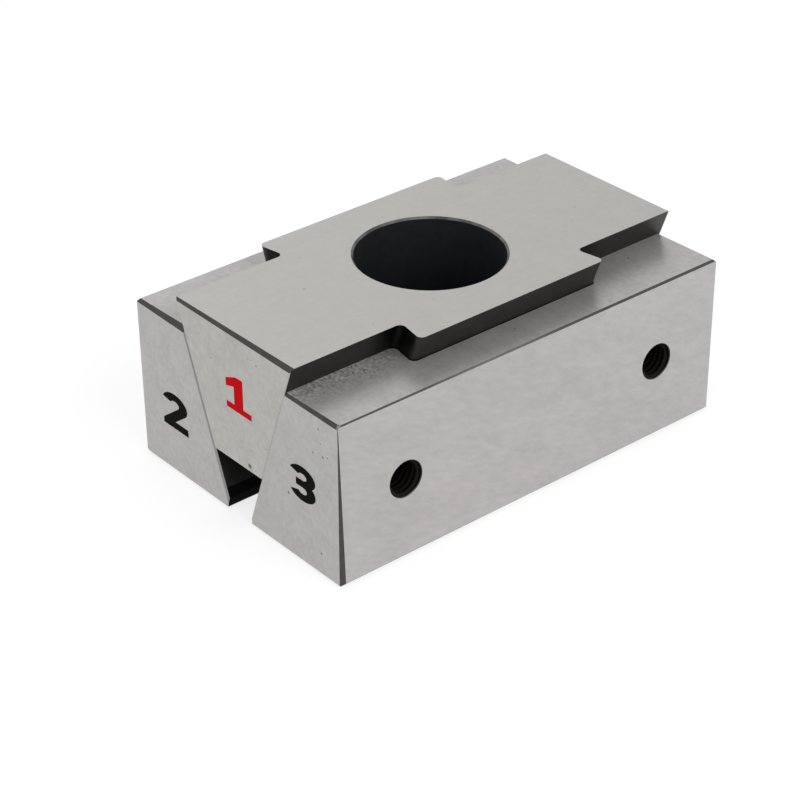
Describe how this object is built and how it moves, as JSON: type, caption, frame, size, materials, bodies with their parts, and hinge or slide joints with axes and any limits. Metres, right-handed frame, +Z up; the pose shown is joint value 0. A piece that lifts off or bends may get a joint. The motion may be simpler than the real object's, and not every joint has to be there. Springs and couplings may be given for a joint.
{
  "type": "fixture clamp block",
  "caption": "Low-profile wedge clamp block: a screw through the dovetailed wedge pulls it down between the jaws and pushes them outwards against the work.",
  "frame": {"origin": "centre of the closed block's footprint, on the plane that the jaws' feet stand on", "axes": "+Z up along the screw bore, +Y along the block's length, +X across the jaws towards the right jaw"},
  "size_m": [0.0412, 0.064, 0.0271],
  "materials": {
    "wedge_steel": "fine ground",
    "jaw_steel": "fine ground"
  },
  "bodies": {
    "left_jaw": {"left_jaw": "jaw_steel"},
    "wedge": {"wedge": "wedge_steel"},
    "right_jaw": {"right_jaw": "jaw_steel"}
  },
  "joints": [
    {"name": "wedge_slide", "type": "slide", "parent": "left_jaw", "child": "wedge", "axis": [0.342, 0, -0.9397], "range_m": [0, 0.0085]},
    {"name": "right_jaw_slide", "type": "slide", "parent": "wedge", "child": "right_jaw", "axis": [0.342, 0, 0.9397], "range_m": [0, 0.0085]}
  ],
  "couplings": [
    {"joint": "right_jaw_slide", "follows": "wedge_slide", "ratio": 1}
  ]
}
